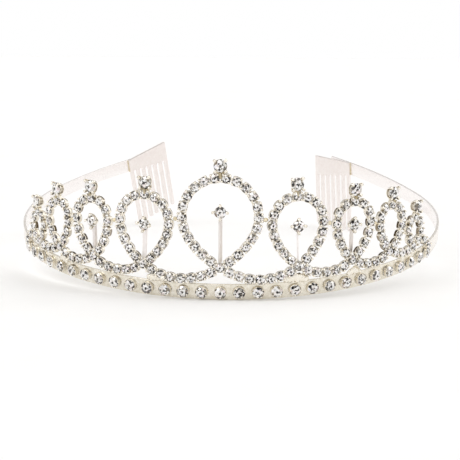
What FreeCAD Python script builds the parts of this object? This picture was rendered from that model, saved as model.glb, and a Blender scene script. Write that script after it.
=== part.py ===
"""A bridal tiara: a flat C-shaped headband on edge, a row of round-set stones along its face, nine
teardrop loops of claw-set cup chain standing on it, a larger stone on each loop, five stones on stems
inside the inner loops, and a hair comb soldered to each free end.

The tiara is first drawn in the band's own frame: the band's lower edge lies in the plane Z = 0, its
front centre is at the origin, +X is to the wearer's left and +Y runs to the back of the head. At the
end every sub-part gets the placement that stands the whole tiara on a level surface, on the front of
the band's lower edge and the combs' teeth, with the middle of its bounding box over the origin.
"""

import FreeCAD, Part
import math
import os

import Sketcher

Vector = FreeCAD.Vector
Placement = FreeCAD.Placement
Rotation = FreeCAD.Rotation

ALONG = Vector(1, 0, 0)
UP = Vector(0, 0, 1)

# Millimetres and degrees, kept in the document's spreadsheet under these names.
DRIVING_SIZES = {
    # headband: three tangent arcs on each side of the front centre
    "front_radius": 74.0,
    "front_angle": 37.0,
    "side_radius": 65.0,
    "side_angle": 75.0,
    "rear_radius": 167.0,
    "rear_angle": 19.0,
    "strip_height": 4.8,
    "strip_thickness": 0.8,
    # row of round-set stones on the band
    "band_stone_pitch": 5.5,
    "band_stone_radius": 1.75,
    "band_cup_radius": 1.95,
    "band_cup_depth": 1.3,
    "band_cup_rim": 0.2,
    # claw-set cup chain
    "chain_cup_width": 2.95,
    "chain_cup_depth": 1.35,
    "chain_cup_rim": 0.1,
    "chain_claw_width": 0.55,
    "chain_claw_rise": 0.5,
    "chain_stone_radius": 1.38,
    "chain_link_width": 0.9,
    "chain_link_thickness": 0.35,
    "chain_back": -0.3,
    "loop_lean": 7.0,
    # setting at the top of each loop
    "crown_stone_radius": 1.95,
    "crown_basket_radius": 2.15,
    "crown_base_radius": 1.5,
    "crown_basket_depth": 2.0,
    "crown_claw_width": 0.75,
    "crown_rise": 3.55,
    "setting_lift": 1.0,
    # stone on a stem inside a loop
    "solitaire_stone_radius": 1.75,
    "solitaire_basket_radius": 1.95,
    "solitaire_base_radius": 1.1,
    "solitaire_basket_depth": 1.8,
    "solitaire_claw_width": 0.6,
    "stem_width": 1.3,
    "stem_thickness": 0.45,
    "stem_set_back": 0.35,
    # brilliant cut, as fractions of the stone's radius
    "table_ratio": 0.56,
    "crown_ratio": 0.34,
    "pavilion_ratio": 0.80,
    "girdle_ratio": 0.03,
    "seat_play": 0.04,
    # combs
    "comb_length": 19.7,
    "comb_height": 27.5,
    "comb_thickness": 0.8,
    "comb_inner_depth": 4.6,
    "comb_end_depth": 7.6,
    "comb_slot_width": 1.45,
    "comb_tip_roundness": 0.4,
    "comb_teeth": 7.0,
    "comb_overlap": 11.5,
    "left_comb_turn": 10.5,
    "right_comb_turn": -4.0,
    # beads of solder: how far out they sit on a loop's side, in front of its plane and below its middle
    "solder_bead_radius": 0.75,
    "bead_outset": 0.45,
    "bead_lift": 0.2,
    "bead_drop": 1.0,
}

# The loops on one side, from the front centre outwards: where the foot stands along the band, the
# height of foot and top above the band's lower edge, half the width, the tilt away from the centre,
# the stones in the chain (with the one at the foot), and where the stem's stone sits.
LOOPS = [
    {"along": 0.0, "foot": 10.0, "top": 36.4, "half_width": 11.1, "tilt": 0.0, "stones": 23, "stem": 26.4},
    {"along": 23.3, "foot": 9.5, "top": 30.3, "half_width": 7.8, "tilt": 0.0, "stones": 18, "stem": 21.5},
    {"along": 40.6, "foot": 9.0, "top": 26.6, "half_width": 6.0, "tilt": 6.0, "stones": 14, "stem": 19.7},
    {"along": 55.3, "foot": 8.7, "top": 22.9, "half_width": 4.9, "tilt": 10.0, "stones": 12, "stem": None},
    {"along": 67.2, "foot": 7.2, "top": 16.1, "half_width": 3.7, "tilt": 18.0, "stones": 8, "stem": None},
]

# Chain between one foot and the next: how many stones hang there and how far it sags.
SWAGS = [
    {"stones": 7, "sag": 3.5},
    {"stones": 5, "sag": 2.6},
    {"stones": 4, "sag": 2.1},
    {"stones": 3, "sag": 1.2},
]
# The chain's last stretch, from the outermost foot down to the end of the stone row.
TAIL = {"reach": 10.0, "stones": 3, "drop": 2.6, "hump": 2.4}

# How far each stem's flat strip is turned about its own length.
STEM_TURNS = {
    "center": 50.0,
    "left_1": 0.0,
    "right_1": 75.0,
    "left_2": 55.0,
    "right_2": 20.0,
}

LAST_BAND_STONE = 14
CHAIN_FULLNESS = 0.85
SAMPLES = 400

# The profile of a setting's claw. The first two are fractions, of the stone's sloping crown and of the
# basket's base radius, and the rest are millimetres.
CLAW = {
    "grip": 0.45,
    "foot_inside": 0.7,
    "foot_outside": 0.2,
    "foot_rise": 0.1,
    "proud": 0.3,
    "shoulder_low": -0.2,
    "shoulder_high": 0.3,
    "over_edge": 0.35,
    "tip_thickness": 0.2,
    "tip_clearance": 0.06,
    "notch_high": 0.1,
    "notch_low": -0.15,
}
BASKET_RIM = -0.1
TOLERANCE = 0.01


# ---------------------------------------------------------------- document and sheet


def make_sheet(doc):
    """The spreadsheet that holds the driving sizes, one alias a row."""
    sheet = doc.addObject("Spreadsheet::Sheet", "Sizes")
    for row, (name, value) in enumerate(DRIVING_SIZES.items(), start=1):
        sheet.set(f"A{row}", name)
        sheet.set(f"B{row}", str(value))
        sheet.setAlias(f"B{row}", name)
    doc.recompute()
    return sheet


class Sizes:
    """Reads the sheet's values as plain attributes, so that the code sees what the sheet says."""

    def __init__(self, sheet):
        self.sheet = sheet

    def __getattr__(self, name):
        return float(self.sheet.get(name))


def origin_feature(body, role):
    """The plane or axis of a body's own origin with this role."""
    for feature in body.Origin.OriginFeatures:
        if feature.Role == role:
            return feature
    raise LookupError(role)


def new_body(doc, name):
    body = doc.addObject("PartDesign::Body", name)
    body.Label = name
    return body


def new_sketch(body, name, plane):
    sketch = body.newObject("Sketcher::SketchObject", name)
    sketch.AttachmentSupport = [(origin_feature(body, plane), "")]
    sketch.MapMode = "FlatFace"
    return sketch


def add_polygon(sketch, points):
    """Straight edges through the points, closed, each joined to the next. Returns the first index."""
    first = sketch.GeometryCount
    count = len(points)
    for index, start in enumerate(points):
        end = points[(index + 1) % count]
        sketch.addGeometry(Part.LineSegment(Vector(*start, 0), Vector(*end, 0)), False)
    for index in range(count):
        following = (index + 1) % count
        sketch.addConstraint(Sketcher.Constraint("Coincident", first + index, 2, first + following, 1))
    return first


def part_feature(doc, name, shape):
    """A sub-part whose shape Part's own functions made."""
    feature = doc.addObject("Part::Feature", name)
    feature.Label = name
    feature.Shape = shape
    return feature


# ---------------------------------------------------------------- where things are


def heading_and_point(sizes, along):
    """The strip's outer face at a signed length from the front centre: its heading and its point."""
    side = 1.0 if along >= 0 else -1.0
    left = abs(along)
    heading = 0.0
    x = 0.0
    y = 0.0
    arcs = [
        (sizes.front_radius, math.radians(sizes.front_angle)),
        (sizes.side_radius, math.radians(sizes.side_angle)),
        (sizes.rear_radius, math.inf),
    ]
    for radius, angle in arcs:
        turn = min(left / radius, angle)
        x += radius * (math.sin(heading + turn) - math.sin(heading))
        y += radius * (math.cos(heading) - math.cos(heading + turn))
        heading += turn
        left -= turn * radius
    return side * heading, Vector(side * x, y, 0)


def strip_length(sizes):
    """Length of the strip's outer face from the front centre to either end."""
    return (
        sizes.front_radius * math.radians(sizes.front_angle)
        + sizes.side_radius * math.radians(sizes.side_angle)
        + sizes.rear_radius * math.radians(sizes.rear_angle)
    )


def face_frame(sizes, along, height):
    """On the strip's outer face: local X along the band, Y up and Z straight out."""
    heading, point = heading_and_point(sizes, along)
    ahead = Vector(math.cos(heading), math.sin(heading), 0)
    outward = Vector(math.sin(heading), -math.cos(heading), 0)
    return Placement(point + UP * height, Rotation(ahead, UP, outward, "XYZ"))


def leaned_frame(sizes, along, height):
    """As face_frame, for chain that leans inwards above the strip's top edge."""
    lean = Placement(Vector(), Rotation(ALONG, -sizes.loop_lean))
    rise = Placement(Vector(0, height - sizes.strip_height, 0), Rotation())
    return face_frame(sizes, along, sizes.strip_height) * lean * rise


def loop_frame(sizes, loop, side):
    """At the foot of a loop: X along the band, Y up the loop's middle and Z the way its stones face."""
    tilt = Placement(Vector(), Rotation(UP, -side * loop["tilt"]))
    return leaned_frame(sizes, side * loop["along"], loop["foot"]) * tilt


def teardrop(loop):
    """The chain's line round a loop: a point for each t from 0 to 1, starting and ending at the foot."""
    radius = loop["half_width"]
    middle = loop["top"] - loop["foot"] - radius

    def right_half(t):
        if t < 0.5:
            height = middle * t / 0.5
            return radius * math.sin(math.pi / 2 * (height / middle) ** CHAIN_FULLNESS), height
        angle = math.pi / 2 * (t - 0.5) / 0.5
        return radius * math.cos(angle), middle + radius * math.sin(angle)

    def point(t):
        if t <= 0.5:
            return right_half(2 * t)
        x, y = right_half(2 * (1 - t))
        return -x, y

    return point


def swag(start, end, sag):
    """The chain's line between two feet, given as (along, height), sagging in the middle."""

    def point(t):
        height = start[1] + (end[1] - start[1]) * t - 4 * sag * t * (1 - t)
        return start[0] + (end[0] - start[0]) * t, height

    return point


def evenly_along(point, intervals):
    """Points on a line at equal steps of its length, each with the line's direction in degrees."""
    samples = [point(step / SAMPLES) for step in range(SAMPLES + 1)]
    lengths = [0.0]
    for before, after in zip(samples, samples[1:]):
        lengths.append(lengths[-1] + math.dist(before, after))
    found = []
    step = 1
    for number in range(intervals + 1):
        wanted = lengths[-1] * number / intervals
        while step < SAMPLES and lengths[step] < wanted:
            step += 1
        share = (wanted - lengths[step - 1]) / (lengths[step] - lengths[step - 1])
        before = samples[step - 1]
        after = samples[step]
        x = before[0] + (after[0] - before[0]) * share
        y = before[1] + (after[1] - before[1]) * share
        found.append((x, y, math.degrees(math.atan2(after[1] - before[1], after[0] - before[0]))))
    return found, lengths[-1] / intervals


# ---------------------------------------------------------------- stones and cups, drawn once each


def stone_profile(sizes, radius):
    """Half the outline of a brilliant: girdle at Z = 0, table in front, culet behind."""
    girdle = sizes.girdle_ratio * radius
    return [
        (0, -sizes.pavilion_ratio * radius),
        (radius, -girdle),
        (radius, girdle),
        (sizes.table_ratio * radius, sizes.crown_ratio * radius),
        (0, sizes.crown_ratio * radius),
    ]


def turned_stone(sizes, radius):
    """A brilliant as one turned solid about Z."""
    outline = [Vector(r, 0, z) for r, z in stone_profile(sizes, radius)]
    face = Part.Face(Part.makePolygon(outline + outline[:1]))
    return face.revolve(Vector(), UP, 360)


def stone_seat(sizes, radius):
    """The cone that a stone's pavilion leaves in its cup."""
    culet = -sizes.pavilion_ratio * radius
    return Part.makeCone(0, radius, -culet - sizes.seat_play, Vector(0, 0, culet))


def band_cup(sizes):
    """A round cup that stands on the band, its stone's girdle at Z = 0 and its back below."""
    depth = sizes.band_cup_depth
    radius = sizes.band_stone_radius
    rim = sizes.band_cup_rim
    cup = Part.makeCylinder(sizes.band_cup_radius, depth + rim, Vector(0, 0, -depth))
    well = Part.makeCylinder(radius, depth, Vector(0, 0, -rim / 2))
    return cup.cut(well).cut(stone_seat(sizes, radius))


def chain_cup(sizes, pitch):
    """A square cup with a claw at each corner and a link bar behind that reaches the next cups."""
    width = sizes.chain_cup_width
    depth = sizes.chain_cup_depth
    claw = sizes.chain_claw_width
    radius = sizes.chain_stone_radius
    rim = sizes.chain_cup_rim
    cup = Part.makeBox(width, width, depth, Vector(-width / 2, -width / 2, -depth + rim))
    link = Part.makeBox(
        pitch,
        sizes.chain_link_width,
        sizes.chain_link_thickness,
        Vector(-pitch / 2, -sizes.chain_link_width / 2, -depth + rim),
    )
    cup = cup.fuse(link)
    inner_corner = width / 2 - claw
    for x in (-width / 2, inner_corner):
        for y in (-width / 2, inner_corner):
            cup = cup.fuse(Part.makeBox(claw, claw, sizes.chain_claw_rise, Vector(x, y, rim)))
    well = Part.makeCylinder(radius, depth, Vector(0, 0, -sizes.seat_play))
    return cup.cut(well).cut(stone_seat(sizes, radius)).removeSplitter()


def group(master, placements):
    """Copies of one solid, each at its own placement, as one compound."""
    return Part.makeCompound([master.transformed(place.toMatrix(), True) for place in placements])


# ---------------------------------------------------------------- headband


def make_headband(doc, sizes):
    """The strip: tangent arcs for its outer and inner faces, padded to the strip's height."""
    body = new_body(doc, "headband")
    sketch = new_sketch(body, "headband_outline", "XY_Plane")
    thickness = sizes.strip_thickness
    front = math.radians(sizes.front_angle)
    side = math.radians(sizes.side_angle)
    rear = math.radians(sizes.rear_angle)

    front_center = Vector(0, sizes.front_radius, 0)
    side_offset = sizes.front_radius - sizes.side_radius
    side_center = front_center + Vector(math.sin(front), -math.cos(front), 0) * side_offset
    rear_offset = sizes.side_radius - sizes.rear_radius
    rear_center = side_center + Vector(math.sin(front + side), -math.cos(front + side), 0) * rear_offset

    def mirrored(center):
        return Vector(-center.x, center.y, 0)

    down = -math.pi / 2
    total = front + side + rear
    spans = [
        (mirrored(rear_center), "rear_radius", down - total, down - front - side),
        (mirrored(side_center), "side_radius", down - front - side, down - front),
        (front_center, "front_radius", down - front, down + front),
        (side_center, "side_radius", down + front, down + front + side),
        (rear_center, "rear_radius", down + front + side, down + total),
    ]
    for inset in (0.0, thickness):
        for center, alias, start, end in spans:
            circle = Part.Circle(center, UP, getattr(sizes, alias) - inset)
            sketch.addGeometry(Part.ArcOfCircle(circle, start, end), False)
    count = len(spans)
    for first in (0, count):
        for index in range(first, first + count - 1):
            sketch.addConstraint(Sketcher.Constraint("Tangent", index, 2, index + 1, 1))
    for end in (1, 2):
        outer = 0 if end == 1 else count - 1
        outer_point = sketch.getPoint(outer, end)
        inner_point = sketch.getPoint(outer + count, end)
        line = sketch.addGeometry(Part.LineSegment(outer_point, inner_point), False)
        sketch.addConstraint(Sketcher.Constraint("Coincident", line, 1, outer, end))
        sketch.addConstraint(Sketcher.Constraint("Coincident", line, 2, outer + count, end))
    for index, (center, alias, start, end) in enumerate(spans):
        sketch.addConstraint(Sketcher.Constraint("Coincident", index, 3, index + count, 3))
        radius = sketch.addConstraint(Sketcher.Constraint("Radius", index, getattr(sizes, alias)))
        sketch.setExpression(f"Constraints[{radius}]", f"Sizes.{alias}")
    gap = sketch.addConstraint(Sketcher.Constraint("Radius", count + 2, sizes.front_radius - thickness))
    sketch.setExpression(f"Constraints[{gap}]", "Sizes.front_radius - Sizes.strip_thickness")

    pad = body.newObject("PartDesign::Pad", "headband_pad")
    pad.Profile = sketch
    pad.setExpression("Length", "Sizes.strip_height")
    doc.recompute()
    return body


# ---------------------------------------------------------------- combs


def comb_outline(sizes):
    """The blank: its top edge along X from the band's end of the comb to the free end."""
    length = sizes.comb_length
    height = sizes.comb_height
    return [(0, 0), (length, 0), (length, -height), (0, -height)]


def add_slot(sketch, left, width, top, bottom):
    """A slot with a round top, open past the tips of the teeth."""
    middle = left + width / 2
    radius = width / 2
    shoulder = top - radius
    first = sketch.GeometryCount
    sketch.addGeometry(Part.LineSegment(Vector(left, shoulder, 0), Vector(left, bottom, 0)), False)
    sketch.addGeometry(Part.LineSegment(Vector(left, bottom, 0), Vector(left + width, bottom, 0)), False)
    sketch.addGeometry(
        Part.LineSegment(Vector(left + width, bottom, 0), Vector(left + width, shoulder, 0)), False
    )
    circle = Part.Circle(Vector(middle, shoulder, 0), UP, radius)
    sketch.addGeometry(Part.ArcOfCircle(circle, 0, math.pi), False)
    for index in range(4):
        following = (index + 1) % 4
        sketch.addConstraint(Sketcher.Constraint("Coincident", first + index, 2, first + following, 1))


def make_comb(doc, sizes, side_name, side, turn):
    """A stamped comb: a plate that is deeper at its free end, slotted into round-topped teeth."""
    body = new_body(doc, f"comb_{side_name}")
    blank = new_sketch(body, f"comb_{side_name}_blank", "XY_Plane")
    add_polygon(blank, [(side * x, y) for x, y in comb_outline(sizes)])
    pad = body.newObject("PartDesign::Pad", f"comb_{side_name}_plate")
    pad.Profile = blank
    pad.setExpression("Length", "Sizes.comb_thickness")
    doc.recompute()

    slots = new_sketch(body, f"comb_{side_name}_slots", "XY_Plane")
    teeth = int(sizes.comb_teeth)
    width = sizes.comb_slot_width
    tooth = (sizes.comb_length - (teeth - 1) * width) / teeth
    for number in range(teeth - 1):
        start = tooth + number * (tooth + width)
        share = (start + width / 2) / sizes.comb_length
        depth = sizes.comb_inner_depth + (sizes.comb_end_depth - sizes.comb_inner_depth) * share
        left = start if side > 0 else -start - width
        add_slot(slots, left, width, -depth, -sizes.comb_height - 1)
    pocket = body.newObject("PartDesign::Pocket", f"comb_{side_name}_teeth")
    pocket.Profile = slots
    pocket.Type = "ThroughAll"
    pocket.Reversed = True
    doc.recompute()
    tips = [
        edge_name
        for edge_name, edge in named_edges(pocket.Shape)
        if is_tooth_corner(edge, sizes)
    ]
    rounding = body.newObject("PartDesign::Fillet", f"comb_{side_name}_tips")
    rounding.Base = (pocket, tips)
    rounding.Radius = sizes.comb_tip_roundness * min(tooth, width)
    doc.recompute()

    start = strip_length(sizes) - sizes.comb_overlap
    heading, point = heading_and_point(sizes, -side * start)
    inward = Vector(-math.sin(heading), math.cos(heading), 0)
    end_point = heading_and_point(sizes, -side * (start + sizes.comb_length))[1]
    along = (end_point - point).normalize() * side
    corner = point + inward * sizes.strip_thickness + UP * sizes.strip_height
    stance = Placement(corner, Rotation(along, UP, along.cross(UP), "XYZ"))
    body.Placement = stance * Placement(Vector(), Rotation(UP, side * turn))
    return body


def named_edges(shape):
    for number, edge in enumerate(shape.Edges, start=1):
        yield f"Edge{number}", edge


def is_tooth_corner(edge, sizes):
    """True for the short edges through the plate at the tips of the teeth."""
    low = edge.BoundBox.YMax < -sizes.comb_height + TOLERANCE
    through = edge.BoundBox.ZLength > sizes.comb_thickness - TOLERANCE
    return low and through


# ---------------------------------------------------------------- settings, stones and stems


def make_turned_body(doc, name, sizes, radius):
    """A stone as a turned body, its girdle at Z = 0 and its table towards +Z."""
    body = new_body(doc, name)
    sketch = new_sketch(body, f"{name}_outline", "XZ_Plane")
    add_polygon(sketch, stone_profile(sizes, radius))
    turned = body.newObject("PartDesign::Revolution", f"{name}_turned")
    turned.Profile = sketch
    turned.ReferenceAxis = (sketch, ["V_Axis"])
    turned.Angle = 360
    doc.recompute()
    return body


def claw_outline(sizes, stone, rim, base, depth):
    """A claw from the side: out of the basket's base, up its wall and over the stone's crown."""
    crown_run = stone * (1 - sizes.table_ratio)
    grip = CLAW["grip"] * crown_run
    grip_height = sizes.crown_ratio * stone * CLAW["grip"] + CLAW["tip_clearance"]
    outer = rim + CLAW["proud"]
    foot = -depth + CLAW["foot_rise"]
    return [
        (base * CLAW["foot_inside"], foot),
        (base + CLAW["foot_outside"], foot),
        (outer, CLAW["shoulder_low"]),
        (outer, CLAW["shoulder_high"]),
        (stone, grip_height + CLAW["over_edge"]),
        (stone - grip, grip_height + CLAW["tip_thickness"]),
        (stone - grip, grip_height),
        (stone, CLAW["notch_high"]),
        (stone, CLAW["notch_low"]),
    ]


def make_claw_setting(doc, name, sizes, kind, first_claw_angle):
    """A turned basket with four claws that reach over the stone's crown."""
    stone = getattr(sizes, f"{kind}_stone_radius")
    rim = getattr(sizes, f"{kind}_basket_radius")
    base = getattr(sizes, f"{kind}_base_radius")
    depth = getattr(sizes, f"{kind}_basket_depth")
    body = new_body(doc, name)

    basket = new_sketch(body, f"{name}_basket", "XZ_Plane")
    culet = -sizes.pavilion_ratio * stone
    seat = stone * (1 - BASKET_RIM / culet)
    add_polygon(basket, [(0, -depth), (base, -depth), (rim, BASKET_RIM), (seat, BASKET_RIM), (0, culet)])
    turned = body.newObject("PartDesign::Revolution", f"{name}_turned")
    turned.Profile = basket
    turned.ReferenceAxis = (basket, ["V_Axis"])
    turned.Angle = 360
    doc.recompute()

    claw = new_sketch(body, f"{name}_claw", "XZ_Plane")
    add_polygon(claw, claw_outline(sizes, stone, rim, base, depth))
    pad = body.newObject("PartDesign::Pad", f"{name}_claw_pad")
    pad.Profile = claw
    pad.Midplane = True
    pad.setExpression("Length", f"Sizes.{kind}_claw_width")
    doc.recompute()
    pattern = body.newObject("PartDesign::PolarPattern", f"{name}_claws")
    pattern.Originals = [pad]
    pattern.Axis = (origin_feature(body, "Z_Axis"), [""])
    pattern.Angle = 360
    pattern.Occurrences = 4
    body.Tip = pattern
    doc.recompute()
    body.Placement = Placement(Vector(), Rotation(UP, first_claw_angle))
    return body


def make_stem(doc, name, length):
    """A flat wire along +Z."""
    body = new_body(doc, name)
    sketch = new_sketch(body, f"{name}_section", "XY_Plane")
    corners = [(-0.5, -0.5), (0.5, -0.5), (0.5, 0.5), (-0.5, 0.5)]
    first = add_polygon(sketch, corners)
    for line in (0, 2):
        sketch.addConstraint(Sketcher.Constraint("Horizontal", first + line))
    for line in (1, 3):
        sketch.addConstraint(Sketcher.Constraint("Vertical", first + line))
    sketch.addConstraint(Sketcher.Constraint("Symmetric", first, 1, first + 2, 1, -1, 1))
    across = sketch.addConstraint(Sketcher.Constraint("DistanceX", first, 1, first, 2, 1.0))
    sketch.setExpression(f"Constraints[{across}]", "Sizes.stem_width")
    through = sketch.addConstraint(Sketcher.Constraint("DistanceY", first + 1, 1, first + 1, 2, 1.0))
    sketch.setExpression(f"Constraints[{through}]", "Sizes.stem_thickness")
    pad = body.newObject("PartDesign::Pad", f"{name}_wire")
    pad.Profile = sketch
    pad.Length = length
    doc.recompute()
    return body


# ---------------------------------------------------------------- the whole tiara


def sides_of(number):
    """Where the loops of this number stand: one at the centre, or one each side."""
    if number == 0:
        return [("center", 1)]
    return [(f"left_{number}", -1), (f"right_{number}", 1)]


def make_band_row(doc, sizes):
    """The row of round cups along the band and their stones."""
    lift = sizes.band_cup_depth
    out = Placement(Vector(0, 0, lift), Rotation())
    places = [
        face_frame(sizes, number * sizes.band_stone_pitch, sizes.strip_height / 2) * out
        for number in range(-LAST_BAND_STONE, LAST_BAND_STONE + 1)
    ]
    stone = turned_stone(sizes, sizes.band_stone_radius)
    return [
        part_feature(doc, "band_cups", group(band_cup(sizes), places)),
        part_feature(doc, "band_stones", group(stone, places)),
    ]


def chain_place(sizes, x, y, direction):
    """A cup's place in the plane of its chain, its back chain_back behind that plane."""
    girdle = sizes.chain_back + sizes.chain_cup_depth - sizes.chain_cup_rim
    return Placement(Vector(x, y, girdle), Rotation(UP, direction))


def make_loop(doc, sizes, loop, label, side):
    """One loop of chain: its cups and its stones, with the crossing cup at the foot."""
    points, pitch = evenly_along(teardrop(loop), loop["stones"])
    frame = loop_frame(sizes, loop, side)
    places = [frame * chain_place(sizes, 0, 0, 0)]
    places += [frame * chain_place(sizes, x, y, direction) for x, y, direction in points[1:-1]]
    stone = turned_stone(sizes, sizes.chain_stone_radius)
    return [
        part_feature(doc, f"loop_cups_{label}", group(chain_cup(sizes, pitch), places)),
        part_feature(doc, f"loop_stones_{label}", group(stone, places)),
    ]


def swag_places(sizes):
    """Every cup between the feet and beyond the outermost feet, and the chain's pitch there."""
    places = []
    pitches = []
    for side in (-1, 1):
        for near, far, hang in zip(LOOPS, LOOPS[1:], SWAGS):
            line = swag((near["along"], near["foot"]), (far["along"], far["foot"]), hang["sag"])
            points, pitch = evenly_along(line, hang["stones"] + 1)
            pitches.append(pitch)
            for along, height, direction in points[1:-1]:
                frame = leaned_frame(sizes, side * along, height)
                places.append(frame * chain_place(sizes, 0, 0, side * direction))
        last = LOOPS[-1]
        start = (last["along"], last["foot"])
        end = (last["along"] + TAIL["reach"], last["foot"] - TAIL["drop"])
        points, pitch = evenly_along(swag(start, end, -TAIL["hump"]), TAIL["stones"])
        pitches.append(pitch)
        for along, height, direction in points[1:]:
            frame = leaned_frame(sizes, side * along, height)
            places.append(frame * chain_place(sizes, 0, 0, side * direction))
    return places, min(pitches)


def make_swags(doc, sizes):
    places, pitch = swag_places(sizes)
    stone = turned_stone(sizes, sizes.chain_stone_radius)
    return [
        part_feature(doc, "swag_cups", group(chain_cup(sizes, pitch), places)),
        part_feature(doc, "swag_stones", group(stone, places)),
    ]


def make_crown(doc, sizes, loop, label, side):
    """The larger stone above a loop, in its basket."""
    rise = loop["top"] - loop["foot"] + sizes.crown_rise
    place = loop_frame(sizes, loop, side) * Placement(Vector(0, rise, sizes.setting_lift), Rotation())
    setting = make_claw_setting(doc, f"crown_setting_{label}", sizes, "crown", 45)
    setting.Placement = place * setting.Placement
    stone = make_turned_body(doc, f"crown_stone_{label}", sizes, sizes.crown_stone_radius)
    stone.Placement = place
    return [setting, stone]


def make_solitaire(doc, sizes, loop, label, side):
    """The stone on a stem inside a loop: basket, stone and stem."""
    frame = loop_frame(sizes, loop, side)
    rise = loop["stem"] - loop["foot"]
    place = frame * Placement(Vector(0, rise, sizes.setting_lift), Rotation())
    setting = make_claw_setting(doc, f"solitaire_setting_{label}", sizes, "solitaire", 0)
    setting.Placement = place * setting.Placement
    stone = make_turned_body(doc, f"solitaire_stone_{label}", sizes, sizes.solitaire_stone_radius)
    stone.Placement = place
    foot = sizes.chain_cup_width / 2
    stem = make_stem(doc, f"stem_{label}", rise - foot)
    upright = Placement(Vector(0, foot, -sizes.stem_set_back), Rotation(ALONG, -90))
    turned = Placement(Vector(), Rotation(UP, STEM_TURNS[label]))
    stem.Placement = frame * upright * turned
    return [setting, stone, stem]


def make_solder_beads(doc, sizes):
    """Beads of solder: a neck under each crown setting, and one where a loop's side meets the next."""
    bead = Part.makeSphere(sizes.solder_bead_radius)
    places = []
    for number, loop in enumerate(LOOPS):
        neck = loop["top"] - loop["foot"] + sizes.crown_rise / 2
        reach = loop["half_width"] + sizes.chain_cup_width / 2 + sizes.bead_outset
        level = loop["top"] - loop["foot"] - loop["half_width"] - sizes.bead_drop
        for label, side in sides_of(number):
            frame = loop_frame(sizes, loop, side)
            places.append(frame * Placement(Vector(0, neck, sizes.bead_lift), Rotation()))
            if number < len(LOOPS) - 1:
                outer_sides = (-1, 1) if number == 0 else (side,)
                for outer in outer_sides:
                    spot = Vector(outer * reach, level, sizes.bead_lift)
                    places.append(frame * Placement(spot, Rotation()))
    return [part_feature(doc, "solder_beads", group(bead, places))]


def make_parts(doc, sizes):
    parts = [make_headband(doc, sizes)]
    parts.append(make_comb(doc, sizes, "left", 1, sizes.left_comb_turn))
    parts.append(make_comb(doc, sizes, "right", -1, sizes.right_comb_turn))
    parts += make_band_row(doc, sizes)
    parts += make_swags(doc, sizes)
    for number, loop in enumerate(LOOPS):
        for label, side in sides_of(number):
            parts += make_loop(doc, sizes, loop, label, side)
            parts += make_crown(doc, sizes, loop, label, side)
            if loop["stem"] is not None:
                parts += make_solitaire(doc, sizes, loop, label, side)
    parts += make_solder_beads(doc, sizes)
    return parts


# ---------------------------------------------------------------- standing it up


def lowest_tip(parts):
    """The point of the combs that meets the table first as the tiara tips back, in the band's frame."""
    combs = [part for part in parts if part.Label.startswith("comb_")]
    points = [vertex.Point for comb in combs for vertex in comb.Shape.Vertexes]
    return min(points, key=lambda point: math.atan2(point.z, point.y))


def stand_up(doc, parts):
    """Tips the tiara back until the comb's teeth are level with the front of the band, then moves it
    so that its lowest point is at Z = 0 and its bounding box is centred on the origin."""
    tip = lowest_tip(parts)
    tilt = Placement(Vector(), Rotation(ALONG, -math.degrees(math.atan2(tip.z, tip.y))))
    for part in parts:
        part.Placement = tilt * part.Placement
    doc.recompute()
    box = FreeCAD.BoundBox()
    for part in parts:
        box.add(part.Shape.optimalBoundingBox(False))
    shift = Placement(Vector(-box.Center.x, -box.Center.y, -box.ZMin), Rotation())
    for part in parts:
        part.Placement = shift * part.Placement
    doc.recompute()
    print(f"tipped by {math.degrees(tilt.Rotation.Angle):.3f} degrees, then moved by {shift.Base}")


def check(doc, parts):
    for thing in doc.Objects:
        if "Invalid" in thing.State or "Error" in thing.State:
            raise RuntimeError(f"{thing.Name} failed: {thing.State}")
    for part in parts:
        if part.Shape.isNull() or not part.Shape.isValid():
            raise RuntimeError(f"{part.Label} has no valid shape")
        if not part.Shape.Solids:
            raise RuntimeError(f"{part.Label} holds no solid")


def main():
    doc = FreeCAD.newDocument("tiara")
    sizes = Sizes(make_sheet(doc))
    parts = make_parts(doc, sizes)
    stand_up(doc, parts)
    check(doc, parts)
    os.makedirs("parts", exist_ok=True)
    for part in parts:
        part.Shape.exportStep(f"parts/{part.Label}.step")
    print(f"{len(parts)} sub-parts, {sum(len(part.Shape.Solids) for part in parts)} solids")


main()
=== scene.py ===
"""A bridal tiara: silvered metal set with foiled crystal, on a white studio floor.

The CAD model gives the place, facing and size of every jewel. Each one gets a cut stone and a setting
with bent claws, drawn in millimetres to the sizes found there. The headband, combs and stems keep
their CAD shapes, with softened edges.
"""

import math
import random

import bpy
import numpy as np
from mathutils import Matrix, Vector, noise


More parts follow.
